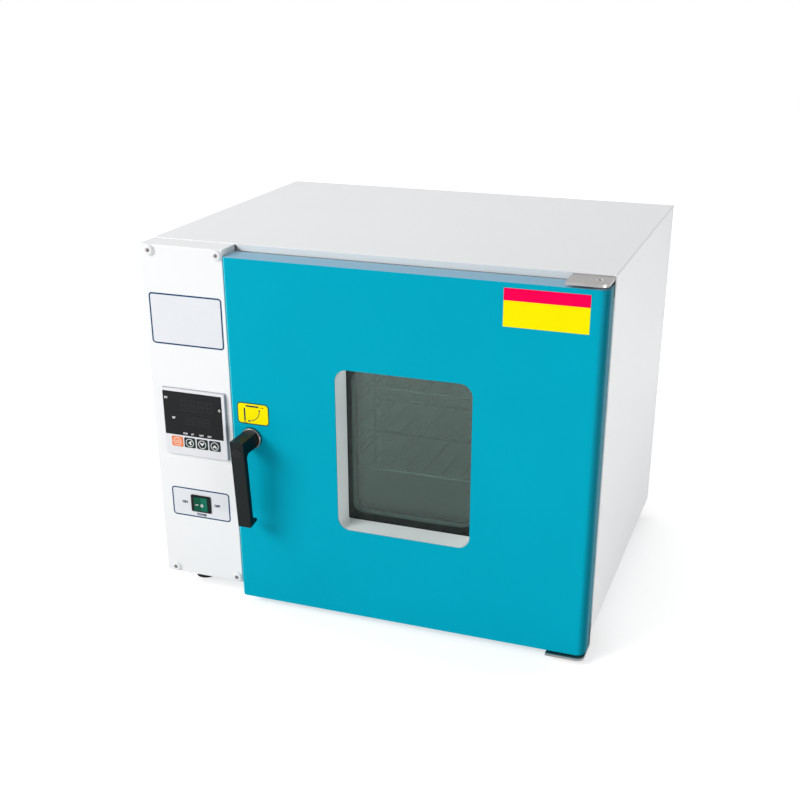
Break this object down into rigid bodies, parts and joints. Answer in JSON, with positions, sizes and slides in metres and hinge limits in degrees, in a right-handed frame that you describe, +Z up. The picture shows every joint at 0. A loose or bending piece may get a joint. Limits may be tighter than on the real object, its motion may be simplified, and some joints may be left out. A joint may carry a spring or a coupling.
{
  "type": "laboratory drying oven",
  "caption": "Bench drying oven: box cabinet on rubber feet, side-hung door with window and lever handle, control column with controller and mains switch, fan and wire shelves inside",
  "frame": {"origin": "Middle of the footprint of the whole object, on the surface that the feet stand on, with the door closed", "axes": "+Z up, the front with the door and the controls faces -Y, +X to the right of a person who faces the door"},
  "size_m": [0.622, 0.551, 0.514],
  "materials": {
    "white_coat": "glossy powder coat",
    "teal_coat": "satin powder coat",
    "galvanised": "galvanised sheet",
    "stainless": "brushed stainless",
    "screw_steel": "bright plated",
    "chrome": "polished",
    "black_plastic": "fine matte",
    "black_rubber": "matte",
    "white_plastic": "satin moulded",
    "reveal_plastic": "satin moulded",
    "display_black": "smoked window",
    "mineral_wool": "fibrous",
    "motor_grey": "satin",
    "heater_steel": "heat tinted",
    "bright_wire": "electropolished wire",
    "window_glass": "clear tempered",
    "gasket_silicone": "matte silicone",
    "black_lever": "satin",
    "green_rocker": "translucent green",
    "orange_key": "satin",
    "dark_key": "satin"
  },
  "bodies": {
    "cabinet": {"outer_shell": "white_coat", "front_frame": "white_coat", "base_pan": "galvanised", "rear_cover": "white_coat", "rear_cover_screws": "screw_steel", "vent_cap": "stainless", "power_inlet": "black_plastic", "rubber_feet": "black_rubber", "foot_screws": "screw_steel", "control_panel": "white_coat", "panel_rails": "galvanised", "cup_washers": "white_plastic", "panel_screws": "screw_steel", "controller_bezel": "white_plastic", "display_window": "display_black", "controller_housing": "black_plastic", "switch_frame": "black_plastic", "chamber_liner": "stainless", "chamber_insulation": "mineral_wool", "motor_partition": "galvanised", "fan_motor": "motor_grey", "heater_element": "heater_steel", "air_baffle": "stainless", "temperature_probe": "stainless", "rack_left": "bright_wire", "rack_right": "bright_wire", "latch_keeper": "stainless", "hinge_bracket_top": "stainless", "hinge_bracket_bottom": "stainless", "bracket_screws_top": "screw_steel", "bracket_screws_bottom": "screw_steel", "hinge_pin_top": "screw_steel", "hinge_pin_bottom": "screw_steel", "hinge_spacer_top": "screw_steel", "hinge_spacer_bottom": "screw_steel"},
    "door": {"door_skin": "teal_coat", "door_inner_panel": "stainless", "door_insulation": "mineral_wool", "window_reveal": "reveal_plastic", "outer_glass": "window_glass", "glass_spacer": "stainless", "inner_glass": "window_glass", "inner_glass_seal": "black_rubber", "door_gasket": "gasket_silicone", "hinge_bush_top": "black_plastic", "hinge_bush_bottom": "black_plastic", "handle_rose": "chrome"},
    "handle": {"handle_lever": "black_lever", "handle_plug": "black_plastic", "handle_spindle": "screw_steel", "latch_cam": "screw_steel"},
    "fan": {"fan_impeller": "galvanised"},
    "shelf_low": {"shelf_lower": "bright_wire"},
    "shelf_high": {"shelf_upper": "bright_wire"},
    "switch": {"rocker": "green_rocker"},
    "button_set": {"key_set": "orange_key"},
    "button_shift": {"key_shift": "dark_key"},
    "button_down": {"key_down": "dark_key"},
    "button_up": {"key_up": "dark_key"}
  },
  "joints": [
    {"name": "door_hinge", "type": "hinge", "parent": "cabinet", "child": "door", "pos_m": [0.2948, -0.213, 0.2588], "axis": [0, 0, 1], "range_deg": [0, 110]},
    {"name": "handle_turn", "type": "hinge", "parent": "door", "child": "handle", "pos_m": [-0.1607, -0.23, 0.26], "axis": [0, -1, 0], "range_deg": [0, 90]},
    {"name": "fan_spin", "type": "hinge", "parent": "cabinet", "child": "fan", "pos_m": [-0.145, -0.0245, 0.2575], "axis": [1, 0, 0], "continuous": true},
    {"name": "shelf_low_slide", "type": "slide", "parent": "cabinet", "child": "shelf_low", "axis": [0, -1, 0], "range_m": [0, 0.025]},
    {"name": "shelf_high_slide", "type": "slide", "parent": "cabinet", "child": "shelf_high", "axis": [0, -1, 0], "range_m": [0, 0.025]},
    {"name": "switch_rock", "type": "hinge", "parent": "cabinet", "child": "switch", "pos_m": [-0.2473, -0.227, 0.1473], "axis": [0, 0, -1], "range_deg": [0, 16]},
    {"name": "press_set", "type": "slide", "parent": "cabinet", "child": "button_set", "axis": [0, 1, 0], "range_m": [0, 0.0008], "stiffness_N_per_m": 1200, "springref_m": -0.0005},
    {"name": "press_shift", "type": "slide", "parent": "cabinet", "child": "button_shift", "axis": [0, 1, 0], "range_m": [0, 0.0008], "stiffness_N_per_m": 1200, "springref_m": -0.0005},
    {"name": "press_down", "type": "slide", "parent": "cabinet", "child": "button_down", "axis": [0, 1, 0], "range_m": [0, 0.0008], "stiffness_N_per_m": 1200, "springref_m": -0.0005},
    {"name": "press_up", "type": "slide", "parent": "cabinet", "child": "button_up", "axis": [0, 1, 0], "range_m": [0, 0.0008], "stiffness_N_per_m": 1200, "springref_m": -0.0005}
  ]
}
